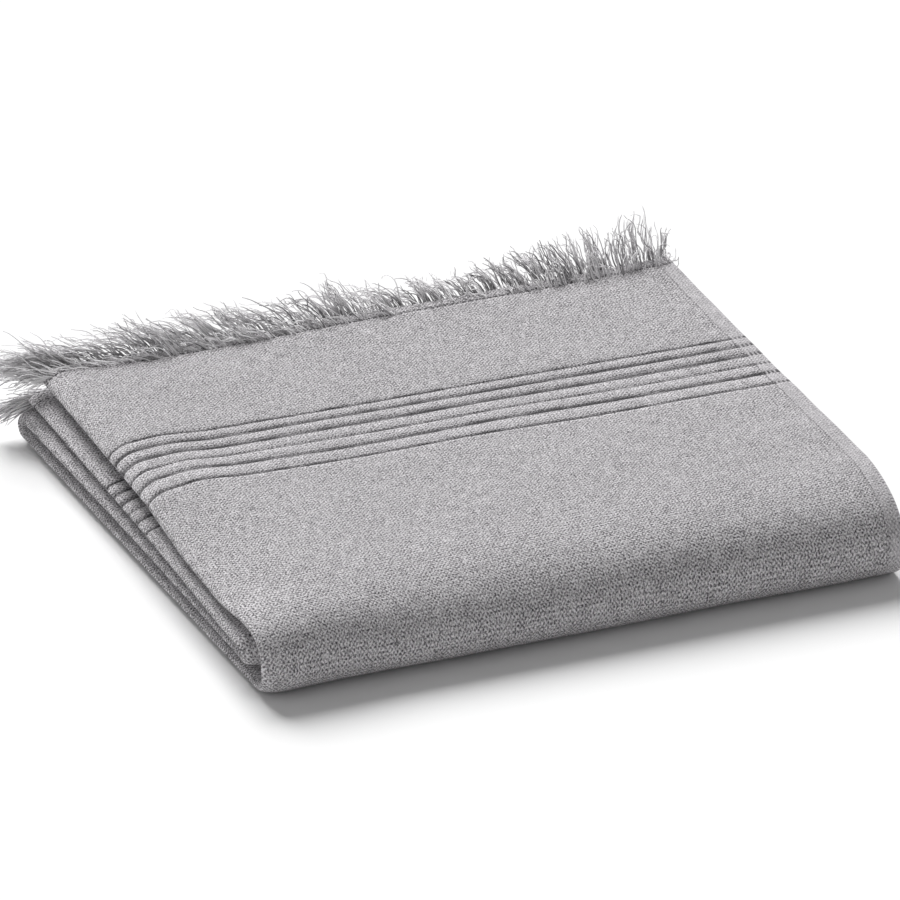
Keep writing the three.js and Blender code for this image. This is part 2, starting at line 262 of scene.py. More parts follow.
share = np.linspace(0, 1, FINE_STEPS + 1)
line = np.concatenate([curve(share)[:-1] for curve in RUN] + [RUN[-1](share[-1:])])
line_at = np.concatenate([[0], np.cumsum(np.linalg.norm(np.diff(line, axis=0), axis=1))])
FLAT_LENGTH = line_at[-1]
joint_at = line_at[np.arange(len(RUN) + 1) * FINE_STEPS]
heading = np.gradient(line, line_at, axis=0)
heading /= np.linalg.norm(heading, axis=1, keepdims=True)
print("flat length of the cloth:", round(FLAT_LENGTH), "mm, folds at", joint_at.round())

# %% [markdown]
# The two sides of the stack
#
# A folded sheet never lies true. A table has a row for each joint of the run and says, in millimetres, where
# the left fold and the right selvedges lie there, how far the pair sags beside its left fold, and how the
# weave lies round that fold. It is skewed, so that a yarn comes back further to the front on the lower ply,
# it bows back a little on the upper one, and on the second layer it is dragged to the front over a wider
# reach.
#
# The front bend is squarer on the left, where the fold in the width makes the cloth stiff. The whole stack
# leans up to the right, is a little wavy, and its hems lie askew.

# %% Side edges
EDGES = [
    {"at": "top hem", "left": -212, "right": 229, "sag": 0, "skew": 16, "bow": 0, "drag": 0},
    {"at": "top middle", "left": -218, "right": 227, "sag": 1, "skew": 16, "bow": 5, "drag": 0},
    {"at": "top front", "left": -220.5, "right": 226, "sag": 7.5, "skew": 10, "bow": 2, "drag": 0},
    {"at": "top crest", "left": -222, "right": 225, "sag": 9, "skew": 6, "bow": 0, "drag": 0},
    {"at": "nose", "left": -221, "right": 221, "sag": 2, "skew": 0, "bow": 0, "drag": 0},
    {"at": "bottom front", "left": -219.5, "right": 222, "sag": 0, "skew": 0, "bow": 0, "drag": 0},
    {"at": "bottom back", "left": -227.5, "right": 226, "sag": 0, "skew": 0, "bow": 0, "drag": 0},
    {"at": "third back", "left": -227.5, "right": 223, "sag": 1.2, "skew": 0, "bow": 0, "drag": 0},
    {"at": "third front", "left": -221, "right": 220, "sag": 1.7, "skew": 0, "bow": 0, "drag": 0},
    {"at": "second front", "left": -226, "right": 224, "sag": 4, "skew": 0, "bow": 0, "drag": 0},
    {"at": "second stripes", "left": -222, "right": 226, "sag": 4, "skew": 0, "bow": 0, "drag": 17},
    {"at": "second hem", "left": -220, "right": 227, "sag": 3, "skew": 0, "bow": 0, "drag": 0},
]
print("widths in mm:", {row["at"]: row["right"] - row["left"] for row in EDGES})

# %% Settling of the stack
HALF_WIDTH = 450
FOLDED_HALF = 225
HEIGHT_LEAN = 0.05
HEM_SKEW = 7.5
MIDDLE_SKEW = 7.5
HEM_CORNER_PULL = 9
HEM_CORNER_START = -150
HEM_CORNER_POWER = 4
FRONT_PULL = 2.6
WAVE_HEIGHT = 0.012
WAVE_ACROSS = (4.1, 2.3)
WAVE_BACK = (3.2, -2.6)

fold_angle = np.linspace(0, np.pi / 2, 200)
fold_middle_depth = LEFT_FOLD_DEPTH - HALF_THICKNESS
fold_line = np.stack([fold_middle_depth * np.cos(fold_angle), PLY_MIDDLE * np.sin(fold_angle)], 1)
fold_at = np.concatenate([[0], np.cumsum(np.linalg.norm(np.diff(fold_line, axis=0), axis=1))])
FOLD_ARC = fold_at[-1]


def settle(x, y, z):
    """How the stack lies. The level is multiplied by 1 plus a lean that grows to the right plus a small sine
    times a cosine. y loses a skew that grows to the right, and the hem is drawn back in the left corner."""
    across = x / FOLDED_HALF
    back = (y - FRONT_END) / (TOP_HEM - FRONT_END)
    rise = z / TOP_CREST_LEVEL
    into_corner = np.maximum(0, (HEM_CORNER_START - x) / (HEM_CORNER_START + FOLDED_HALF))
    corner_pull = HEM_CORNER_PULL * rise * into_corner * back ** HEM_CORNER_POWER
    front_pull = FRONT_PULL * ((1 - across) / 2) ** 2 * (1 - back)
    first, second = (turns * across + WAVE_BACK[i] * back for i, turns in enumerate(WAVE_ACROSS))
    level = np.maximum(0, z * (1 + HEIGHT_LEAN * across + WAVE_HEIGHT * np.sin(first) * np.cos(second)))
    skew = across * (HEM_SKEW * back + MIDDLE_SKEW * 4 * back * (1 - back))
    return np.stack([x, y - skew + corner_pull + front_pull, level], -1)


def slow_waves(across, along, seed, height, shortest, longest, count=9):
    """A sum of sine waves in random directions, with lengths from shortest to longest, scaled to height."""
    draw = np.random.RandomState(seed)
    total = np.zeros(np.broadcast(across, along).shape)
    for _ in range(count):
        size = draw.uniform(shortest, longest)
        turn, start = draw.uniform(0, 2 * np.pi, 2)
        total += np.sin(2 * np.pi * (across * np.cos(turn) + along * np.sin(turn)) / size + start)
    return height * total / np.sqrt(count)


def soft_step(value, start, end):
    """0 before start and 1 after end, and in between the smooth curve 3t^2 - 2t^3."""
    t = np.clip((value - start) / (end - start), 0, 1)
    return t * t * (3 - 2 * t)


print("the front left of the crest settles at", settle(-FOLDED_HALF, CREST_AT, TOP_CREST_LEVEL).round(1))

# %% Sag and the squarer front bend
SAG_REACH = 50
SAG_FULL_AT = 8
CORNER_FORWARD = 7.0
CORNER_UP = 6.5
CORNER_SHARE = 0.25
CORNER_FROM = -110


def edge_column(name, along):
    """A column of the table of edges, read at places along the cloth."""
    return np.interp(along, joint_at, [row[name] for row in EDGES])


def laid(x, left, sag, middle_y, middle_z):
    """How the middle of the pair departs from the run. It sinks by the sag, over a soft step from the left
    fold. The front bend moves forward and up by 4 f^2 h^2, where f and h run from 0 to 1 along the two half
    axes of the bend, so it is 1 halfway round. A quarter of that is left on the right."""
    sunk = sag * soft_step(x - left, SAG_FULL_AT + SAG_REACH, SAG_FULL_AT)
    forward = np.clip((CREST_AT - middle_y) / (CREST_AT - nose_middle), 0, 1)
    high = np.clip((middle_z - NOSE_LEVEL) / (TOP_CREST_LEVEL - NOSE_LEVEL), 0, 1)
    corner = 4 * forward ** 2 * high ** 2 * (
        CORNER_SHARE + (1 - CORNER_SHARE) * soft_step(x, CORNER_FROM, -FOLDED_HALF))
    return middle_y - CORNER_FORWARD * corner, middle_z + CORNER_UP * corner - sunk


print("the pair sags by up to", max(row["sag"] for row in EDGES), "mm beside its left fold")

# %% [markdown]
# One function for the whole cloth
#
# Every point of the cloth has two flat coordinates, as if it were spread out: across, from -450 mm at one
# selvedge to 450 mm at the other with the closed fold at 0, and along, from 0 at the top hem. sheet_point
# turns them, and a distance out of the middle of the cloth, into a place in the folded stack. Hem, stitches,
# fringe and weave all use this one function, so they stay together. The folds are pressed and regular, so a
# formula holds them better than a simulation of falling cloth would.

# %% From flat cloth to folded stack
SKEW_FROM = 18
SKEW_TO = -18
BOW_AT = 40
BOW_WIDTH = 18
DRAG_REACH = 90
UNEVEN_SELVEDGE = {"seed": 5, "height": 0.5, "shortest": 60, "longest": 160}
UNEVEN_PLY = {"seed": 21, "height": 0.35, "shortest": 60, "longest": 170}


def sheet_point(across, along, out, past=0.0):
    """The place of a point of the cloth. out is its distance from the middle of the cloth, towards the
    outside of the pair, and past its distance beyond the selvedge. Across, the ply is a quarter ellipse from
    the middle of the left fold and then a straight to the selvedge, on one side of the run for positive
    across and on the other for negative. That section is carried square to the run, and the weave's lie goes
    to y."""
    across, along, out, past = np.broadcast_arrays(
        *(np.asarray(value, float) for value in (across, along, out, past)))
    left = edge_column("left", along)
    right = edge_column("right", along) + slow_waves(along, 0 * along, **UNEVEN_SELVEDGE)
    turn_x = left + LEFT_FOLD_DEPTH
    reach = np.abs(across) / HALF_WIDTH * (FOLD_ARC + right - turn_x)
    angle = np.interp(reach, fold_at, fold_angle)
    on_ply = np.maximum(0, reach - FOLD_ARC)
    x = turn_x - (fold_middle_depth + out) * np.cos(angle) + on_ply + past
    puff = slow_waves(across, along, **UNEVEN_PLY)
    lift = np.sign(across) * (PLY_MIDDLE + out) * np.sin(angle) + np.sin(angle) * puff
    middle_y, middle_z, head_y, head_z = (
        np.interp(along, line_at, column) for column in (*line.T, *heading.T))
    middle_y, middle_z = laid(x, left, edge_column("sag", along), middle_y, middle_z)
    turned = np.sign(across) * reach
    dragged = (edge_column("skew", along) * soft_step(turned, SKEW_FROM, SKEW_TO)
               + edge_column("drag", along) * soft_step(reach, DRAG_REACH, 0))
    bowed = edge_column("bow", along) * np.exp(-((turned - BOW_AT) / BOW_WIDTH) ** 2)
    return settle(x, middle_y + lift * head_z - dragged + bowed, middle_z - lift * head_y)


print("the two corners of the top hem, in mm:", sheet_point(np.array([HALF_WIDTH, 0]), 0, 0).round().tolist())

# %% [markdown]
# How thick the cloth is along its length
#
# Seen closely, the cloth isn't equally thick. Its end is turned over into a hem, rounded at the edge and
# drawn in by the stitches. Between the two hems it is a soft, looped weave, and the stripes are woven flat
# with darker yarn, so each one is a shallow groove: it sinks slowly on the side of the hem and ends in a
# sharp step. A table gives the six grooves by their distance from the first.

# %% Hem, stitches and stripes along the cloth
HEM_WIDTH = 10.5
HEM_EASE = 2.5
HEM_SWELL = 0.35
STITCH_GROOVE = 0.75
STITCH_GROOVE_WIDTH = 0.7
STRIPE_DEPTH = 0.95
FIRST_STRIPE = 128.5
# dark is how dark each stripe's colour is: its darker yarn together with painted shade in its groove.
STRIPES = [
    {"starts": -2.6, "deepest": -0.4, "ends": 0.9, "dark": 0.95},
    {"starts": 8.2, "deepest": 11.6, "ends": 14.4, "dark": 0.9},
    {"starts": 21.6, "deepest": 25.9, "ends": 28.8, "dark": 0.95},
    {"starts": 39.6, "deepest": 41.6, "ends": 42.6, "dark": 0.8},
    {"starts": 52.0, "deepest": 55.6, "ends": 58.2, "dark": 0.95},
    {"starts": 70.4, "deepest": 73.0, "ends": 74.4, "dark": 1.0},
]
STEP_WIDTH = 0.6


def from_hem(along):
    """The distance to the nearer hem, so that both ends of the cloth are alike."""
    return np.minimum(along, FLAT_LENGTH - along)


def half_thickness(along, groove=1.0):
    """Half the cloth's thickness: a swell over the hem, less a bell curve at the stitches and a ramp down and
    up in each stripe, by that share of the groove's depth, and a quarter circle at the hem's edge."""
    near = from_hem(along)
    half = HALF_THICKNESS + HEM_SWELL * np.interp(near, [HEM_WIDTH, HEM_WIDTH + HEM_EASE], [1, 0])
    half = half - STITCH_GROOVE * np.exp(-((near - HEM_WIDTH) / STITCH_GROOVE_WIDTH) ** 2)
    for stripe in STRIPES:
        places = [stripe["starts"], stripe["deepest"], stripe["ends"], stripe["ends"] + STEP_WIDTH]
        half = half - groove * np.interp(near - FIRST_STRIPE, places, [0, STRIPE_DEPTH, STRIPE_DEPTH, 0])
    edge = np.clip(near / half, 0, 1)
    return half * np.sqrt(1 - (1 - edge) ** 2)


print("half the thickness at the hem, the stitches and the second stripe:",
      half_thickness(np.array([HEM_WIDTH / 2, HEM_WIDTH, FIRST_STRIPE + STRIPES[1]["deepest"]])).round(2))

# %% [markdown]
# The grid of the cloth
#
# The cloth is a grid of flat coordinates, with its two faces and the rounded rims of its selvedges as one
# closed ring of points for each line along it. The lines are close where the form turns, at the rounded edge,
# the stitches, the stripes and the folds, and far apart where it is flat. The inner face, which is pressed
# against itself, has every other line.

# %% Where the grid lines lie
def steps(start, end, size):
    """Evenly spaced values from start to end, about size apart."""
    return np.linspace(start, end, max(2, int(round((end - start) / size)) + 1))


LAYER_STEP = 5.5
FOLD_STEP = 3.2
EDGE_LINES = [0.05, 0.3, 0.9, 1.7]
HEM_FROM = 2.6
HEM_STEP = 1.6
STITCH_REACH = 1
STITCH_STEP = 0.4
hem_lines = np.concatenate([
    EDGE_LINES, steps(HEM_FROM, HEM_WIDTH - 1.5 * STITCH_REACH, HEM_STEP),
    steps(HEM_WIDTH - STITCH_REACH, HEM_WIDTH + STITCH_REACH, STITCH_STEP), [HEM_WIDTH + HEM_FROM]])
stripe_lines = FIRST_STRIPE + np.concatenate(
    [[row["starts"], (row["starts"] + row["deepest"]) / 2, row["deepest"], row["ends"],
      row["ends"] + STEP_WIDTH] for row in STRIPES])
layer_sizes = [
    LAYER_STEP, LAYER_STEP, LAYER_STEP, FOLD_STEP, FOLD_STEP, LAYER_STEP, FOLD_STEP / 2, LAYER_STEP,
    FOLD_STEP / 2, LAYER_STEP, LAYER_STEP]
along_lines = np.concatenate(
    [steps(joint_at[i], joint_at[i + 1], size) for i, size in enumerate(layer_sizes)])
along_lines = along_lines[(from_hem(along_lines) > hem_lines[-1] + 1) & ~(
    (from_hem(along_lines) > stripe_lines[0] - 2) & (from_hem(along_lines) < stripe_lines[-1] + 2))]
fixed_lines = np.concatenate([hem_lines, stripe_lines])
along_lines = np.unique(np.concatenate(
    [along_lines, fixed_lines, FLAT_LENGTH - fixed_lines]).round(3))

SIDE_FOLD_END = 20.0
SIDE_FOLD_STEP = 2.2
PLY_STEP = 6.0
ply_lines = steps(SIDE_FOLD_END, HALF_WIDTH, PLY_STEP)
fold_lines = steps(0, SIDE_FOLD_END, SIDE_FOLD_STEP)[:-1]
half_lines = np.concatenate([fold_lines, ply_lines])
outer_lines = np.concatenate([-half_lines[:0:-1], half_lines])
inner_lines = outer_lines[::-2]
RIM_POINTS = 4
rim_turn = np.linspace(0, np.pi, RIM_POINTS + 2)[1:-1]
print("grid lines:", len(along_lines), "along and", len(outer_lines) + len(inner_lines), "across")

# %% Points and faces of the cloth
GROOVE_ENDS = 5
GROOVE_FULL = 12

around = np.concatenate([
    outer_lines, np.full(RIM_POINTS, HALF_WIDTH), inner_lines, np.full(RIM_POINTS, -HALF_WIDTH)])
out_share = np.concatenate([
    np.ones(len(outer_lines)), np.cos(rim_turn), -np.ones(len(inner_lines)), -np.cos(rim_turn)])
past_share = np.concatenate([
    np.zeros(len(outer_lines)), np.sin(rim_turn), np.zeros(len(inner_lines)), np.sin(rim_turn)])
groove = soft_step(HALF_WIDTH - np.abs(around), GROOVE_ENDS, GROOVE_FULL)
half = half_thickness(along_lines[:, None], groove)
cloth_points = sheet_point(around[None, :], along_lines[:, None], out_share * half, past_share * half)

rows, columns = cloth_points.shape[:2]
number = np.arange(rows * columns).reshape(rows, columns)
beside = np.roll(number, -1, axis=1)
cloth_faces = np.stack([number[:-1], number[1:], beside[1:], beside[:-1]], -1).reshape(-1, 4).tolist()

# Each end is closed between the outer face and the inner one, which has every other grid line
outer_count = len(outer_lines)
inner_from = outer_count + RIM_POINTS
inner_count = len(inner_lines)
paired = np.arange(inner_count - 1)
end_cells = np.stack([2 * paired, 2 * paired + 1, 2 * paired + 2,
                      inner_from + inner_count - 2 - paired, inner_from + inner_count - 1 - paired], 1)
rims = [np.arange(outer_count - 1, inner_from + 1), np.r_[np.arange(columns - RIM_POINTS - 1, columns), 0]]
for cells in (end_cells, *rims):
    cells = np.atleast_2d(cells)
    cloth_faces += number[0][cells].tolist() + number[-1][cells[:, ::-1]].tolist()
print("cloth grid", rows, "by", columns)


# %% Volume of the cloth
def enclosed_volume(points, faces):
    """The volume inside a closed surface: a sixth of the sum of each triangle's triple product."""
    fans = np.array([(face[0], face[i], face[i + 1]) for face in faces for i in range(1, len(face) - 1)])
    a, b, c = (points.reshape(-1, 3)[fans[:, i]] for i in range(3))
    return float(np.einsum("ij,ij->", a, np.cross(b, c)) / 6)


print("cloth volume, litres:", round(enclosed_volume(cloth_points, cloth_faces) / 1e6, 3))

# %% [markdown]
# The woven cloth
#
# Real thing: cotton of a medium weight, woven in an uneven grey yarn with small loops. From a step away it is
# a mat, pale grey ground with a fine lattice of darker dots, 2.85 mm apart, and short streaks along both
# yarns. The stripes are the same yarns woven flat and dyed darker, and along the selvedges the cloth is a
# firm band in which the stripes break into dots. The stripes' colour also carries painted shade: it darkens
# slowly towards each stripe's sharp step, as the shade on the groove's slope does.
#
# The pattern is drawn from the flat coordinates, which the mesh holds as its UV map, so that it runs round
# every fold. First come the distances to the hem and to the selvedge. Then several patterns of soft spots are
# made in one loop, from a table that says how many spots there are to a millimetre each way.

# %% Flat coordinates for the weave
woven_cotton, tree = new_material("woven cotton, grey")

flat_map = add(tree, "ShaderNodeUVMap", {"uv_map": "flat cloth"})
flat_mm = add(tree, "ShaderNodeVectorMath", {"operation": "SCALE", "Scale": 1 / MM}, {0: flat_map})
across_mm, along_mm, _ = add(tree, "ShaderNodeSeparateXYZ", links={0: flat_mm}).outputs
from_end = add(tree, "ShaderNodeMath", {"operation": "SUBTRACT", 0: float(FLAT_LENGTH)}, {1: along_mm})
hem_mm = add(tree, "ShaderNodeMath", {"operation": "MINIMUM"}, {0: along_mm, 1: from_end})
from_fold = add(tree, "ShaderNodeMath", {"operation": "SUBTRACT", 1: float(HALF_WIDTH)}, {0: across_mm})
off_fold = add(tree, "ShaderNodeMath", {"operation": "ABSOLUTE"}, {0: from_fold})
selvedge_mm = add(tree, "ShaderNodeMath", {"operation": "SUBTRACT", 0: float(HALF_WIDTH)}, {1: off_fold})
print("nodes for the flat coordinates:", len(tree.nodes))

# %% Soft spots of many sizes
SPOTS = {
    "wobble across": {"to_a_mm": (0.09, 0.05), "roughness": 0.5, "seed": 3.0},
    "wobble along": {"to_a_mm": (0.05, 0.09), "roughness": 0.5, "seed": 8.0},
    "streaks across": {"to_a_mm": (0.09, 0.85), "roughness": 0.5, "seed": 15.0},
    "streaks along": {"to_a_mm": (0.85, 0.09), "roughness": 0.5, "seed": 31.0},
    "loops": {"to_a_mm": (0.9, 0.9), "roughness": 0.7, "seed": 52.0},
    "clouds": {"to_a_mm": (0.018, 0.018), "roughness": 0.5, "seed": 70.0},
    "wavering": {"to_a_mm": (0.05, 0.02), "roughness": 0.5, "seed": 91.0},
    "patches": {"to_a_mm": (0.04, 0.08), "roughness": 0.5, "seed": 97.0},
}

spots = {}
for name, row in SPOTS.items():
    shift = (row["seed"], row["seed"], 0.0)
    placed = add(tree, "ShaderNodeMapping", {"vector_type": "POINT", "Location": shift,
                                             "Scale": (*row["to_a_mm"], 1.0)}, {"Vector": flat_mm})
    spots[name] = add(tree, "ShaderNodeTexNoise", {"noise_dimensions": "2D", "Scale": 1.0, "Detail": 2.0,
                                                   "Roughness": row["roughness"]}, {"Vector": placed})
print("patterns of spots:", list(spots))

# %% [markdown]
# The tone of the weave
#
# The lattice of dots is the product of two cosines, one for each yarn, and both are drawn a little off their
# beat, as no yarn is quite even. To it come short streaks, where a yarn is thicker or paler, and single
# loops. Each pattern is taken about its middle, times a weight, and added up. The band along the selvedge has
# less contrast, and a thin dark line parts it from the rest.

# %% Lattice, streaks and loops
LATTICE_ACROSS = 2.85
LATTICE_ALONG = 2.9
OFF_BEAT = 5.0

waves = []
for place_mm, spacing, wobble in ((across_mm, LATTICE_ACROSS, "wobble across"),
                                  (along_mm, LATTICE_ALONG, "wobble along")):
    off_beat = add(tree, "ShaderNodeMath", {"operation": "MULTIPLY", 1: OFF_BEAT}, {0: spots[wobble]})
    beat = add(tree, "ShaderNodeMath", {"operation": "MULTIPLY_ADD", 1: float(2 * np.pi / spacing)},
               {0: place_mm, 2: off_beat})
    waves.append(add(tree, "ShaderNodeMath", {"operation": "COSINE"}, {0: beat}))
wave_across, wave_along = waves
tone = add(tree, "ShaderNodeMath", {"operation": "MULTIPLY"}, {0: wave_across, 1: wave_along})
tone = add(tree, "ShaderNodeMath", {"operation": "MULTIPLY", 1: 0.3}, {0: tone})
for pattern, middle, weight in ((wave_along, 0.0, 0.08), (spots["streaks across"], 0.5, 0.6),
                                (spots["streaks along"], 0.5, 0.7), (spots["loops"], 0.5, 2.5)):
    centred = add(tree, "ShaderNodeMath", {"operation": "SUBTRACT", 1: middle}, {0: pattern})
    tone = add(tree, "ShaderNodeMath", {"operation": "MULTIPLY_ADD", 1: weight}, {0: centred, 2: tone})
print("the lattice has", round(2 * HALF_WIDTH / LATTICE_ACROSS), "dots from selvedge to selvedge")

# %% Band along the selvedge
SELVEDGE_BAND = 10.0
BAND_CONTRAST = 0.55
BAND_LINE = 0.16
CLOUD_WEIGHT = 0.1

in_band = add(tree, "ShaderNodeMapRange", {1: SELVEDGE_BAND - 0.8, 2: SELVEDGE_BAND + 0.4, 3: 1.0, 4: 0.0},
              {0: selvedge_mm})
off_band = add(tree, "ShaderNodeMath", {"operation": "SUBTRACT", 1: SELVEDGE_BAND}, {0: selvedge_mm})
from_line = add(tree, "ShaderNodeMath", {"operation": "ABSOLUTE"}, {0: off_band})
band_line = add(tree, "ShaderNodeMapRange", {1: 0.3, 2: 0.9, 3: BAND_LINE, 4: 0.0}, {0: from_line})
contrast = add(tree, "ShaderNodeMapRange", {1: 0.0, 2: 1.0, 3: 1.0, 4: BAND_CONTRAST}, {0: in_band})
tone = add(tree, "ShaderNodeMath", {"operation": "MULTIPLY_ADD", 2: 0.5}, {0: tone, 1: contrast})
cloudy = add(tree, "ShaderNodeMath", {"operation": "SUBTRACT", 1: 0.5}, {0: spots["clouds"]})
tone = add(tree, "ShaderNodeMath", {"operation": "MULTIPLY_ADD", 1: CLOUD_WEIGHT}, {0: cloudy, 2: tone})
tone = add(tree, "ShaderNodeMath", {"operation": "SUBTRACT"}, {0: tone, 1: band_line})
print("the selvedge band is", SELVEDGE_BAND, "mm wide")

# %% [markdown]
# The stripes
#
# The stripes' yarns were beaten in unevenly, so a stripe wavers by a millimetre or two and is darker in some
# places than in others. Each one is a ramp up from its start to its deepest place, times a ramp down over its
# sharp step, so the dark colour and the groove in the mesh lie in the same place. The stripe is darker yarn,
# and its slow ramp is also painted shade: it darkens the colour along the groove's slope as shade would. In
# the selvedge band the stripes are multiplied by the beat of the yarns, which breaks them into dots.

# %% Dark stripes
WAVER = 3.0
PALEST_PATCH = 0.72
DARKEST_PATCH = 1.15

uneven = add(tree, "ShaderNodeMath", {"operation": "SUBTRACT", 1: 0.5}, {0: spots["wavering"]})
wavering = add(tree, "ShaderNodeMath", {"operation": "MULTIPLY_ADD", 1: WAVER}, {0: uneven, 2: hem_mm})
patchy = add(tree, "ShaderNodeMapRange", {1: 0.35, 2: 0.65, 3: PALEST_PATCH, 4: DARKEST_PATCH},
             {0: spots["patches"]})
# The stripe mask is darker yarn plus painted shade: its slow ramp darkens the colour along the groove's
# slope.
dark = None
for stripe in STRIPES:
    starts, deepest, ends = (FIRST_STRIPE + stripe[place] for place in ("starts", "deepest", "ends"))
    sink = add(tree, "ShaderNodeMapRange", {1: starts, 2: deepest, 3: 0.0, 4: 1.0}, {0: wavering})
    rise = add(tree, "ShaderNodeMapRange", {1: ends, 2: ends + STEP_WIDTH, 3: stripe["dark"], 4: 0.0},
               {0: wavering})
    both = add(tree, "ShaderNodeMath", {"operation": "MULTIPLY"}, {0: sink, 1: rise})
    dark = add(tree, "ShaderNodeMath", {"operation": "ADD"}, {0: dark, 1: both}) if dark else both
dark = add(tree, "ShaderNodeMath", {"operation": "MULTIPLY"}, {0: dark, 1: patchy})
band_dots = add(tree, "ShaderNodeMapRange", {1: -0.3, 2: 0.3, 3: 0.15, 4: 1.0}, {0: wave_across})
broken = add(tree, "ShaderNodeMix", {"data_type": "FLOAT", 2: 1.0}, {0: in_band, 3: band_dots})
dark = add(tree, "ShaderNodeMath", {"operation": "MULTIPLY"}, {0: dark, 1: broken})
print("stripes at each end:", len(STRIPES))

# %% Colours of the yarn and the finish
# Cotton is matt and a little fuzzy, so it has hardly any gloss and a faint sheen at grazing angles. The
# relief of the loops is up to 0.8 mm deep and gives the ground its grain.
ground = add(tree, "ShaderNodeMix", {"data_type": "RGBA", 6: colour("504d51"), 7: colour("f4f1f4")},
             {0: tone}).outputs[2]
# The stripes' colour: their darker yarn, made darker still by painted shade of the groove.
dark_yarn_and_shade = add(tree, "ShaderNodeMix", {"data_type": "RGBA", 6: colour("242225"), 7: colour("5c5a5d")},
                {0: tone}).outputs[2]
yarn = add(tree, "ShaderNodeMix", {"data_type": "RGBA"}, {0: dark, 6: ground, 7: dark_yarn_and_shade}).outputs[2]
relief = add(tree, "ShaderNodeBump", {"Strength": 0.7, "Distance": 0.0008}, {"Height": tone})
cotton = add(tree, "ShaderNodeBsdfPrincipled", {"Roughness": 0.95, "IOR": 1.45, "Specular IOR Level": 0.2,
                                                "Sheen Weight": 0.12, "Sheen Roughness": 0.5},
             {"Base Color": yarn, "Normal": relief})
add(tree, "ShaderNodeOutputMaterial", links={"Surface": cotton})
print("nodes of the woven cotton:", len(tree.nodes))

# %% [markdown]
# Dressing the cloth
#
# The piece takes the place of the plain solid. Its UV map is the flat cloth in metres, so the pattern of the
# material is at its real size.

# %% The dressed cloth
def new_piece(name, points, faces, material):
    """A smooth mesh object at the origin from points in millimetres and a table of faces."""
    mesh = bpy.data.meshes.new(name)
    mesh.from_pydata((points.reshape(-1, 3) * MM).tolist(), [], faces)
    mesh.materials.append(material)
    mesh.polygons.foreach_set("use_smooth", np.ones(len(mesh.polygons), bool))
    piece = bpy.data.objects.new(name, mesh)
    bpy.context.scene.collection.objects.link(piece)
    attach(piece, "root")
    print(name, "has", len(mesh.polygons), "faces")
    return piece


bath_sheet = new_piece("bath_sheet", cloth_points, cloth_faces, woven_cotton)
loop_points = np.zeros(len(bath_sheet.data.loops), int)
bath_sheet.data.loops.foreach_get("vertex_index", loop_points)
flat_across = np.broadcast_to(around + HALF_WIDTH, (rows, columns)).ravel()
flat_along = np.broadcast_to(along_lines[:, None], (rows, columns)).ravel()
flat_layer = bath_sheet.data.uv_layers.new(name="flat cloth")
flat_layer.data.foreach_set(
    "uv", (np.stack([flat_across, flat_along], 1)[loop_points] * MM).astype(np.float32).ravel())
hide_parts("cloth")

# %% [markdown]
# Threads
#
# Stitches, the tacks at the corners and the fringe are all thin threads. One function makes any number of
# them at once: it carries a small four-sided ring along each path, square to it, and closes both ends. The
# ring's two sides come from the path's direction and a fixed direction that each thread has of its own. Four
# sides are enough, because a thread is only one or two pixels wide from where the picture was taken.

# %% Threads along paths
def threads(paths, radii, seed):
    """Points and faces of closed threads. paths holds a row of points for each thread, and radii a radius for
    each of those points: every ring is its path point plus the radius times the cosine and sine of a turn."""
    count, stops = paths.shape[:2]
    along = np.gradient(paths, axis=1)
    along /= np.linalg.norm(along, axis=2, keepdims=True)
    other = np.random.RandomState(seed).normal(size=(count, 1, 3))
    side = np.cross(along, other)
    side /= np.linalg.norm(side, axis=2, keepdims=True)
    top = np.cross(along, side)
    turns = np.arange(4) * np.pi / 2
    ring = side[:, :, None] * np.cos(turns)[:, None] + top[:, :, None] * np.sin(turns)[:, None]
    points = paths[:, :, None] + ring * radii[:, :, None, None]
    first = np.arange(count * stops * 4).reshape(count, stops, 4)
    next_side = np.roll(first, -1, axis=2)
    walls = np.stack([first[:, :-1], next_side[:, :-1], next_side[:, 1:], first[:, 1:]], -1)
    ends = np.stack([first[:, 0, ::-1], first[:, -1]], 1)
    return points, np.concatenate([walls.reshape(-1, 4), ends.reshape(-1, 4)]).tolist()


def new_threads(name, paths, radii, tones, material, seed):
    """A piece of many threads, with a tone for each thread and the distance from the root for each point."""
    points, faces = threads(paths, radii, seed)
    piece = new_piece(name, points, faces, material)
    from_root = np.linspace(0, 1, points.shape[1])[None, :, None]
    for label, values in (("tone", tones[:, None, None]), ("from_root", from_root)):
        spread = np.broadcast_to(values, points.shape[:3]).astype(np.float32).ravel()
        piece.data.attributes.new(label, "FLOAT", "POINT").data.foreach_set("value", spread)
    return piece


straight_thread = threads(np.array([[[0, 0, 0], [0, 1, 0], [0, 2, 0]]], float), np.full((1, 3), 0.5), seed=1)
print("volume of a straight thread, 2 mm long:", round(enclosed_volume(*straight_thread), 2), "cubic mm")

# %% Cotton thread
THREAD_SPOTS_PER_METRE = 900.0
SHADED_SHARE = 0.45


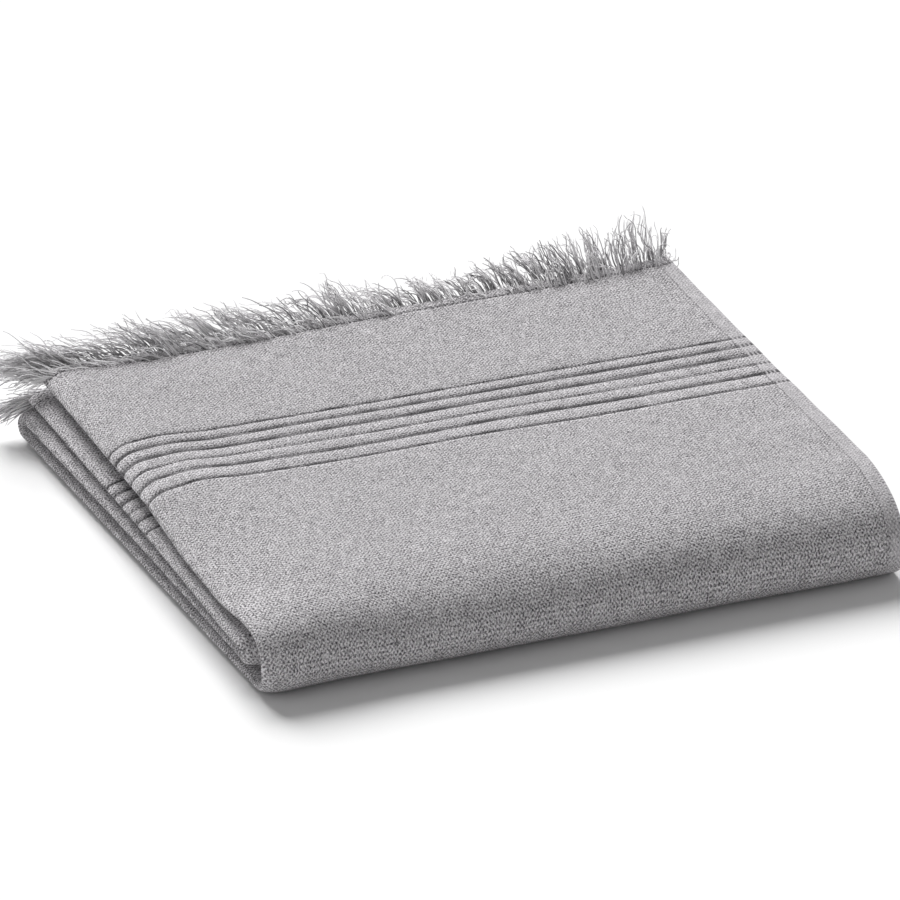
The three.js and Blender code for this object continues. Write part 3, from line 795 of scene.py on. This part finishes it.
def thread_material(name, pale, dark, painted_root_shade):
    """Spun cotton: matt and soft, with spots of a millimetre for the twist of its fibres. Each thread has its
    own tone from dark to pale, and a fringe is darkened towards its roots by painted shade, which stands for
    the shade where threads lie close. Some light passes through so fine a thread, which keeps it from turning
    black on its far side."""
    material, tree = new_material(name)
    own = add(tree, "ShaderNodeAttribute", {"attribute_name": "tone"}).outputs["Fac"]
    far = add(tree, "ShaderNodeAttribute", {"attribute_name": "from_root"}).outputs["Fac"]
    place = add(tree, "ShaderNodeTexCoord").outputs["Object"]
    twist = add(tree, "ShaderNodeTexNoise", {"Scale": THREAD_SPOTS_PER_METRE, "Detail": 1.0},
                {"Vector": place})
    mixed = add(tree, "ShaderNodeMath", {"operation": "MULTIPLY_ADD", 1: 0.35, "use_clamp": True},
                {0: twist, 2: own})
    yarn = add(tree, "ShaderNodeMix", {"data_type": "RGBA", 6: colour(dark), 7: colour(pale)},
               {0: mixed}).outputs[2]
    # Painted shade: the colour is darkened towards the root over the first SHADED_SHARE of the thread, where
    # close threads shade each other.
    shade = add(tree, "ShaderNodeMapRange", {1: 0.0, 2: SHADED_SHARE, 3: painted_root_shade, 4: 1.0}, {0: far})
    shaded = add(tree, "ShaderNodeVectorMath", {"operation": "SCALE"}, {0: yarn, "Scale": shade})
    bump = add(tree, "ShaderNodeBump", {"Strength": 0.4, "Distance": 0.0002}, {"Height": twist})
    cotton = add(tree, "ShaderNodeBsdfPrincipled",
                 {"Roughness": 0.9, "IOR": 1.45, "Specular IOR Level": 0.25, "Sheen Weight": 0.1,
                  "Subsurface Weight": 0.5, "Subsurface Scale": 0.001, "Subsurface Radius": (1.0, 1.0, 1.0)},
                 {"Base Color": shaded, "Normal": bump})
    add(tree, "ShaderNodeOutputMaterial", links={"Surface": cotton})
    print("material:", name)
    return material


# %% [markdown]
# The hem's stitches
#
# The hem is sewn with one row of straight stitches, 3.4 mm long and 10.5 mm from the edge, which read as a
# thin broken dark line. Their dark grey is partly the thread's colour and partly painted shade, which stands
# for the shade in the stitch groove. Each stitch is an arched thread that dips into the cloth at its two
# ends, and strays a little from the line, as it does under a sewing machine's foot.

# %% Stitches of the hems
STITCH_LENGTH = 3.4
STITCH_PITCH = 4.6
STITCH_STOPS = 6
STITCH_FROM_SELVEDGE = 2
STITCH_STRAY = 0.12
STITCH_ARCH = 0.55
STITCH_SUNK = 0.1
STITCH_END_RADIUS = 0.16
STITCH_SWELL = 0.2

# The stitches' dark grey is partly painted shade of the stitch groove.
stitch_cotton_and_shade = thread_material("sewing cotton, grey, with painted groove shade", pale="6a686c", dark="3c3a3e", painted_root_shade=1.0)
draw = np.random.RandomState(4)
stitch_from = np.arange(-HALF_WIDTH + STITCH_FROM_SELVEDGE, HALF_WIDTH - STITCH_LENGTH, STITCH_PITCH)
stitch_share = np.linspace(0, 1, STITCH_STOPS)
arch = np.sin(np.pi * stitch_share)
stitch_across = stitch_from[:, None] + STITCH_LENGTH * stitch_share
stitch_along = HEM_WIDTH + draw.normal(0, STITCH_STRAY, len(stitch_from))[:, None] + 0 * stitch_across
stitch_out = float(half_thickness(np.array(HEM_WIDTH))) + STITCH_ARCH * arch - STITCH_SUNK
stitch_paths = np.concatenate([
    sheet_point(stitch_across, stitch_along, stitch_out),
    sheet_point(stitch_across, FLAT_LENGTH - stitch_along, stitch_out)])
stitch_radii = np.broadcast_to(STITCH_END_RADIUS + STITCH_SWELL * arch, stitch_paths.shape[:2])
hem_stitches = new_threads("hem_stitches", stitch_paths, stitch_radii,
                           draw.uniform(0.2, 0.6, len(stitch_paths)), stitch_cotton_and_shade, seed=6)

# %% [markdown]
# The corner tacks
#
# At the four corners of the cloth the hem is held by a tack, a pale thread that zigzags over the hem for
# 21 mm. It is one thread on a triangle wave, from just inside the hem's edge to just inside the stitches, and
# it lies on the cloth.

# %% Tacks at the four corners
TACK_LENGTH = 21.0
TACK_PITCH = 2.6
TACK_STOPS = 8
TACK_FROM_SELVEDGE = 0.8
TACK_FROM_EDGE = 1.4
TACK_SHORTER_THAN_HEM = 1.6
TACK_ABOVE = 0.25
TACK_RADIUS = 0.42
TACK_TONE = 0.7

tack_cotton = thread_material("sewing cotton, pale", pale="d2d0d3", dark="8f8d91", painted_root_shade=1.0)
tack_share = np.linspace(0, 1, TACK_STOPS * int(TACK_LENGTH / TACK_PITCH) + 1)
swing = np.abs((tack_share * TACK_LENGTH / TACK_PITCH) % 2 - 1)
tack_across = HALF_WIDTH - TACK_FROM_SELVEDGE - TACK_LENGTH * tack_share
tack_along = TACK_FROM_EDGE + (HEM_WIDTH - TACK_SHORTER_THAN_HEM) * swing
tack_out = half_thickness(tack_along) + TACK_ABOVE
tack_paths = np.stack([
    sheet_point(side * tack_across, end + way * tack_along, tack_out)
    for side in (1, -1) for end, way in ((0, 1), (FLAT_LENGTH, -1))])
corner_tacks = new_threads("corner_tacks", tack_paths, np.full(tack_paths.shape[:2], TACK_RADIUS),
                           np.full(len(tack_paths), TACK_TONE), tack_cotton, seed=7)

# %% [markdown]
# The fringe
#
# The fringe is what is left of the long yarns where the weaving stops. Its threads come out of the hem's
# edge, cling together in clumps and lie the way they were last brushed: to the left at the closed fold, and
# more and more upright towards the selvedges, where their ends curl. Two tables give the lie at places across
# the width, as angles in degrees at the root and at the tip, with a length in millimetres. A lean is to the
# left of straight back, and a lift is above level. Each clump and each thread departs from that by chance.
#
# Hair particles could make such threads too, but then chance would place them. Here every thread is followed
# from its root in steps of equal length, so the table decides how it lies.

# %% Lie of the fringes
TOP_LIE = [
    {"x": -226, "lean": 66, "tip_lean": 84, "lift": 4, "tip_lift": -18, "length": 41, "curl": 16},
    {"x": -208, "lean": 50, "tip_lean": 80, "lift": 36, "tip_lift": -10, "length": 40, "curl": 20},
    {"x": -180, "lean": 40, "tip_lean": 72, "lift": 50, "tip_lift": -4, "length": 37, "curl": 24},
    {"x": -130, "lean": 36, "tip_lean": 66, "lift": 58, "tip_lift": 8, "length": 34, "curl": 30},
    {"x": -60, "lean": 26, "tip_lean": 52, "lift": 60, "tip_lift": 10, "length": 31, "curl": 30},
    {"x": 0, "lean": 22, "tip_lean": 40, "lift": 62, "tip_lift": 6, "length": 30, "curl": 30},
    {"x": 60, "lean": 24, "tip_lean": 20, "lift": 62, "tip_lift": -6, "length": 26, "curl": 30},
    {"x": 110, "lean": 26, "tip_lean": 18, "lift": 62, "tip_lift": 4, "length": 24, "curl": 34},
    {"x": 150, "lean": 30, "tip_lean": 16, "lift": 66, "tip_lift": 28, "length": 29, "curl": 40},
    {"x": 200, "lean": 24, "tip_lean": -6, "lift": 70, "tip_lift": 44, "length": 31, "curl": 50},
    {"x": 222, "lean": 14, "tip_lean": -20, "lift": 70, "tip_lift": 40, "length": 30, "curl": 60},
    {"x": 230, "lean": -10, "tip_lean": -50, "lift": 50, "tip_lift": 20, "length": 23, "curl": 60},
]
UNDER_LIE = [
    {"x": -226, "lean": 76, "tip_lean": 92, "lift": -6, "tip_lift": -24, "length": 32, "curl": 14},
    {"x": -190, "lean": 46, "tip_lean": 70, "lift": -6, "tip_lift": -20, "length": 28, "curl": 16},
    {"x": 0, "lean": 14, "tip_lean": 26, "lift": 4, "tip_lift": -26, "length": 27, "curl": 22},
    {"x": 228, "lean": 4, "tip_lean": -10, "lift": 6, "tip_lift": -24, "length": 27, "curl": 32},
]
for label, lie in (("top", TOP_LIE), ("under", UNDER_LIE)):
    lengths = [row["length"] for row in lie]
    print(label, "fringe is", min(lengths), "to", max(lengths), "mm long")

# %% Roots, clumps and turns of the threads
ROOT_INSIDE = 0.5
ROOT_RISE = 0.5
ROOT_SPREAD = 0.6
ROOT_FROM_SELVEDGE = 0.5
FOLD_SHARE = 0.07
FOLD_SPREAD = 16
CLUMP_SIZES = (3.5, 10.0)
CLUMPS_DRAWN = 300
THREAD_STOPS = 12
WAVES = (0.7, 2.3)


def roots_and_clumps(draw, count, along):
    """Where the threads start, and the clump of each. They are spread over the width by chance, with some
    more at the closed fold, and start inside the hem's edge, a little nearer to its upper face on the top
    layer and to its lower face on the second."""
    in_fold = int(FOLD_SHARE * count)
    reach = HALF_WIDTH - ROOT_FROM_SELVEDGE
    across = np.sort(np.concatenate([
        draw.uniform(-reach, reach, count - in_fold), draw.normal(0, FOLD_SPREAD, in_fold)]))
    out = ROOT_RISE * np.sign(across) + draw.uniform(-1, 1, count) * ROOT_SPREAD
    clump = np.searchsorted(np.cumsum(draw.uniform(*CLUMP_SIZES, CLUMPS_DRAWN)) - HALF_WIDTH, across)
    return sheet_point(across, along, out), clump


def turning(draw, at_root, at_tip, curl, share):
    """An angle along each thread, in radians: it goes from the root's to the tip's by 1 - (1 - share)^2, with
    a sine wave of that curl, which grows along the thread."""
    turns = draw.uniform(*WAVES, (len(curl), 1))
    start = draw.uniform(0, 2 * np.pi, (len(curl), 1))
    wave = curl[:, None] * np.sin(2 * np.pi * turns * share + start) * share
    turned = 1 - (1 - share) ** 2
    return np.radians(at_root[:, None] + (at_tip - at_root)[:, None] * turned + wave)


print("clumps across one ply: about", round(2 * HALF_WIDTH / sum(CLUMP_SIZES)))

# %% The path of every thread
CHANCE = {
    "length": {"clump": 0, "thread": 0},
    "curl": {"clump": 0, "thread": 0},
    "lean": {"clump": 8, "thread": 11},
    "tip_lean": {"clump": 10, "thread": 18},
    "lift": {"clump": 5, "thread": 8},
    "tip_lift": {"clump": 8, "thread": 13},
}
LENGTH_CHANCE = {"clump": 0.08, "thread": 0.14}
CURL_CHANCE = (0.3, 1.5)
CLUMP_PULL = 0.3
CLUMP_PULL_POWER = 1.5
MOST_LEAN = 82
MOST_LIFT = 76


def fringe_paths(draw, lie, count, along):
    """The paths of one fringe. Each step of a thread is its share of the length in the direction given by the
    lean and the lift there, and the steps add up to the path. Every point is then drawn towards the middle of
    its clump's tips, the more the nearer it is to its own tip."""
    root, clump = roots_and_clumps(draw, count, along)
    clumps = clump.max() + 1
    share = np.linspace(0, 1, THREAD_STOPS)

    def by_chance(scales):
        """A normal chance for each clump, and one for each thread."""
        return draw.normal(0, scales["clump"], clumps)[clump] + draw.normal(0, scales["thread"], count)

    def from_table(column):
        """The table's value at each root, with its chance."""
        table = np.interp(root[:, 0], [row["x"] for row in lie], [row[column] for row in lie])
        return table + by_chance(CHANCE[column])

    length = from_table("length") * (1 + by_chance(LENGTH_CHANCE))
    curl = from_table("curl") * draw.uniform(*CURL_CHANCE, count)
    lean = turning(draw, from_table("lean"), from_table("tip_lean"), curl, share)
    lift = turning(draw, from_table("lift"), from_table("tip_lift"), curl, share)
    lean = np.minimum(lean, np.radians(MOST_LEAN))
    lift = np.minimum(lift, np.radians(MOST_LIFT))
    heading = np.stack([-np.sin(lean) * np.cos(lift), np.cos(lean) * np.cos(lift), np.sin(lift)], -1)
    step = heading * (length / (THREAD_STOPS - 1))[:, None, None]
    path = root[:, None] + np.cumsum(step, axis=1) - step[:, :1]
    members = np.maximum(1, np.bincount(clump, minlength=clumps))
    middle = np.stack([np.bincount(clump, path[:, -1, i], clumps) / members for i in range(3)], 1)
    to_middle = (middle[clump] - path[:, -1])[:, None]
    return path + CLUMP_PULL * to_middle * share[:, None] ** CLUMP_PULL_POWER


print("a thread leans by", MOST_LEAN, "and lifts by", MOST_LIFT, "degrees at most")

# %% [markdown]
# From paths to the two fringes
#
# Real thing: the same grey yarn as the cloth's, loose and a little frayed, about 1 mm thick at the root and
# thinner at the tip. Threads are made thicker than single plies of the yarn, as finer ones would not show.
# Pale and dark threads lie side by side, with more pale ones. This is partly the yarn's own uneven grey and
# partly painted shade: the darkest threads stand for the shadows in the gaps between strands. Each fringe
# takes the place of its coarse locks.

# %% The two fringes
FLOOR_CLEARANCE = 0.6
THREAD_RADII = (0.38, 0.56)
THREAD_TAPER = 0.45
# The darkest threads are partly painted shade, for the shadows in the gaps between strands.
TONE_SPREAD = (1.2, 0.7)

# The fringe's roots get painted shade, darkened to 0.55, where the threads lie close.
fringe_cotton = thread_material("loose cotton yarn, grey, with painted root shade", pale="fffdff", dark="4e4c50", painted_root_shade=0.55)


def new_fringe(name, lie, count, along, seed, node):
    """One fringe as a piece of fine threads that stands for its coarse locks."""
    draw = np.random.RandomState(seed)
    paths = fringe_paths(draw, lie, count, along)
    paths[..., 2] = np.maximum(paths[..., 2], FLOOR_CLEARANCE)
    thick = draw.uniform(*THREAD_RADII, count)[:, None]
    radii = thick * (1 - THREAD_TAPER * np.linspace(0, 1, THREAD_STOPS) ** 2)
    tones = draw.beta(*TONE_SPREAD, count)
    piece = new_threads(name, paths, radii, tones, fringe_cotton, seed)
    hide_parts(node)
    return piece


top_threads = new_fringe("top_fringe", TOP_LIE, 1400, ROOT_INSIDE, 12, "fringe_top")
under_threads = new_fringe("under_fringe", UNDER_LIE, 900, FLAT_LENGTH - ROOT_INSIDE, 30, "fringe_under")
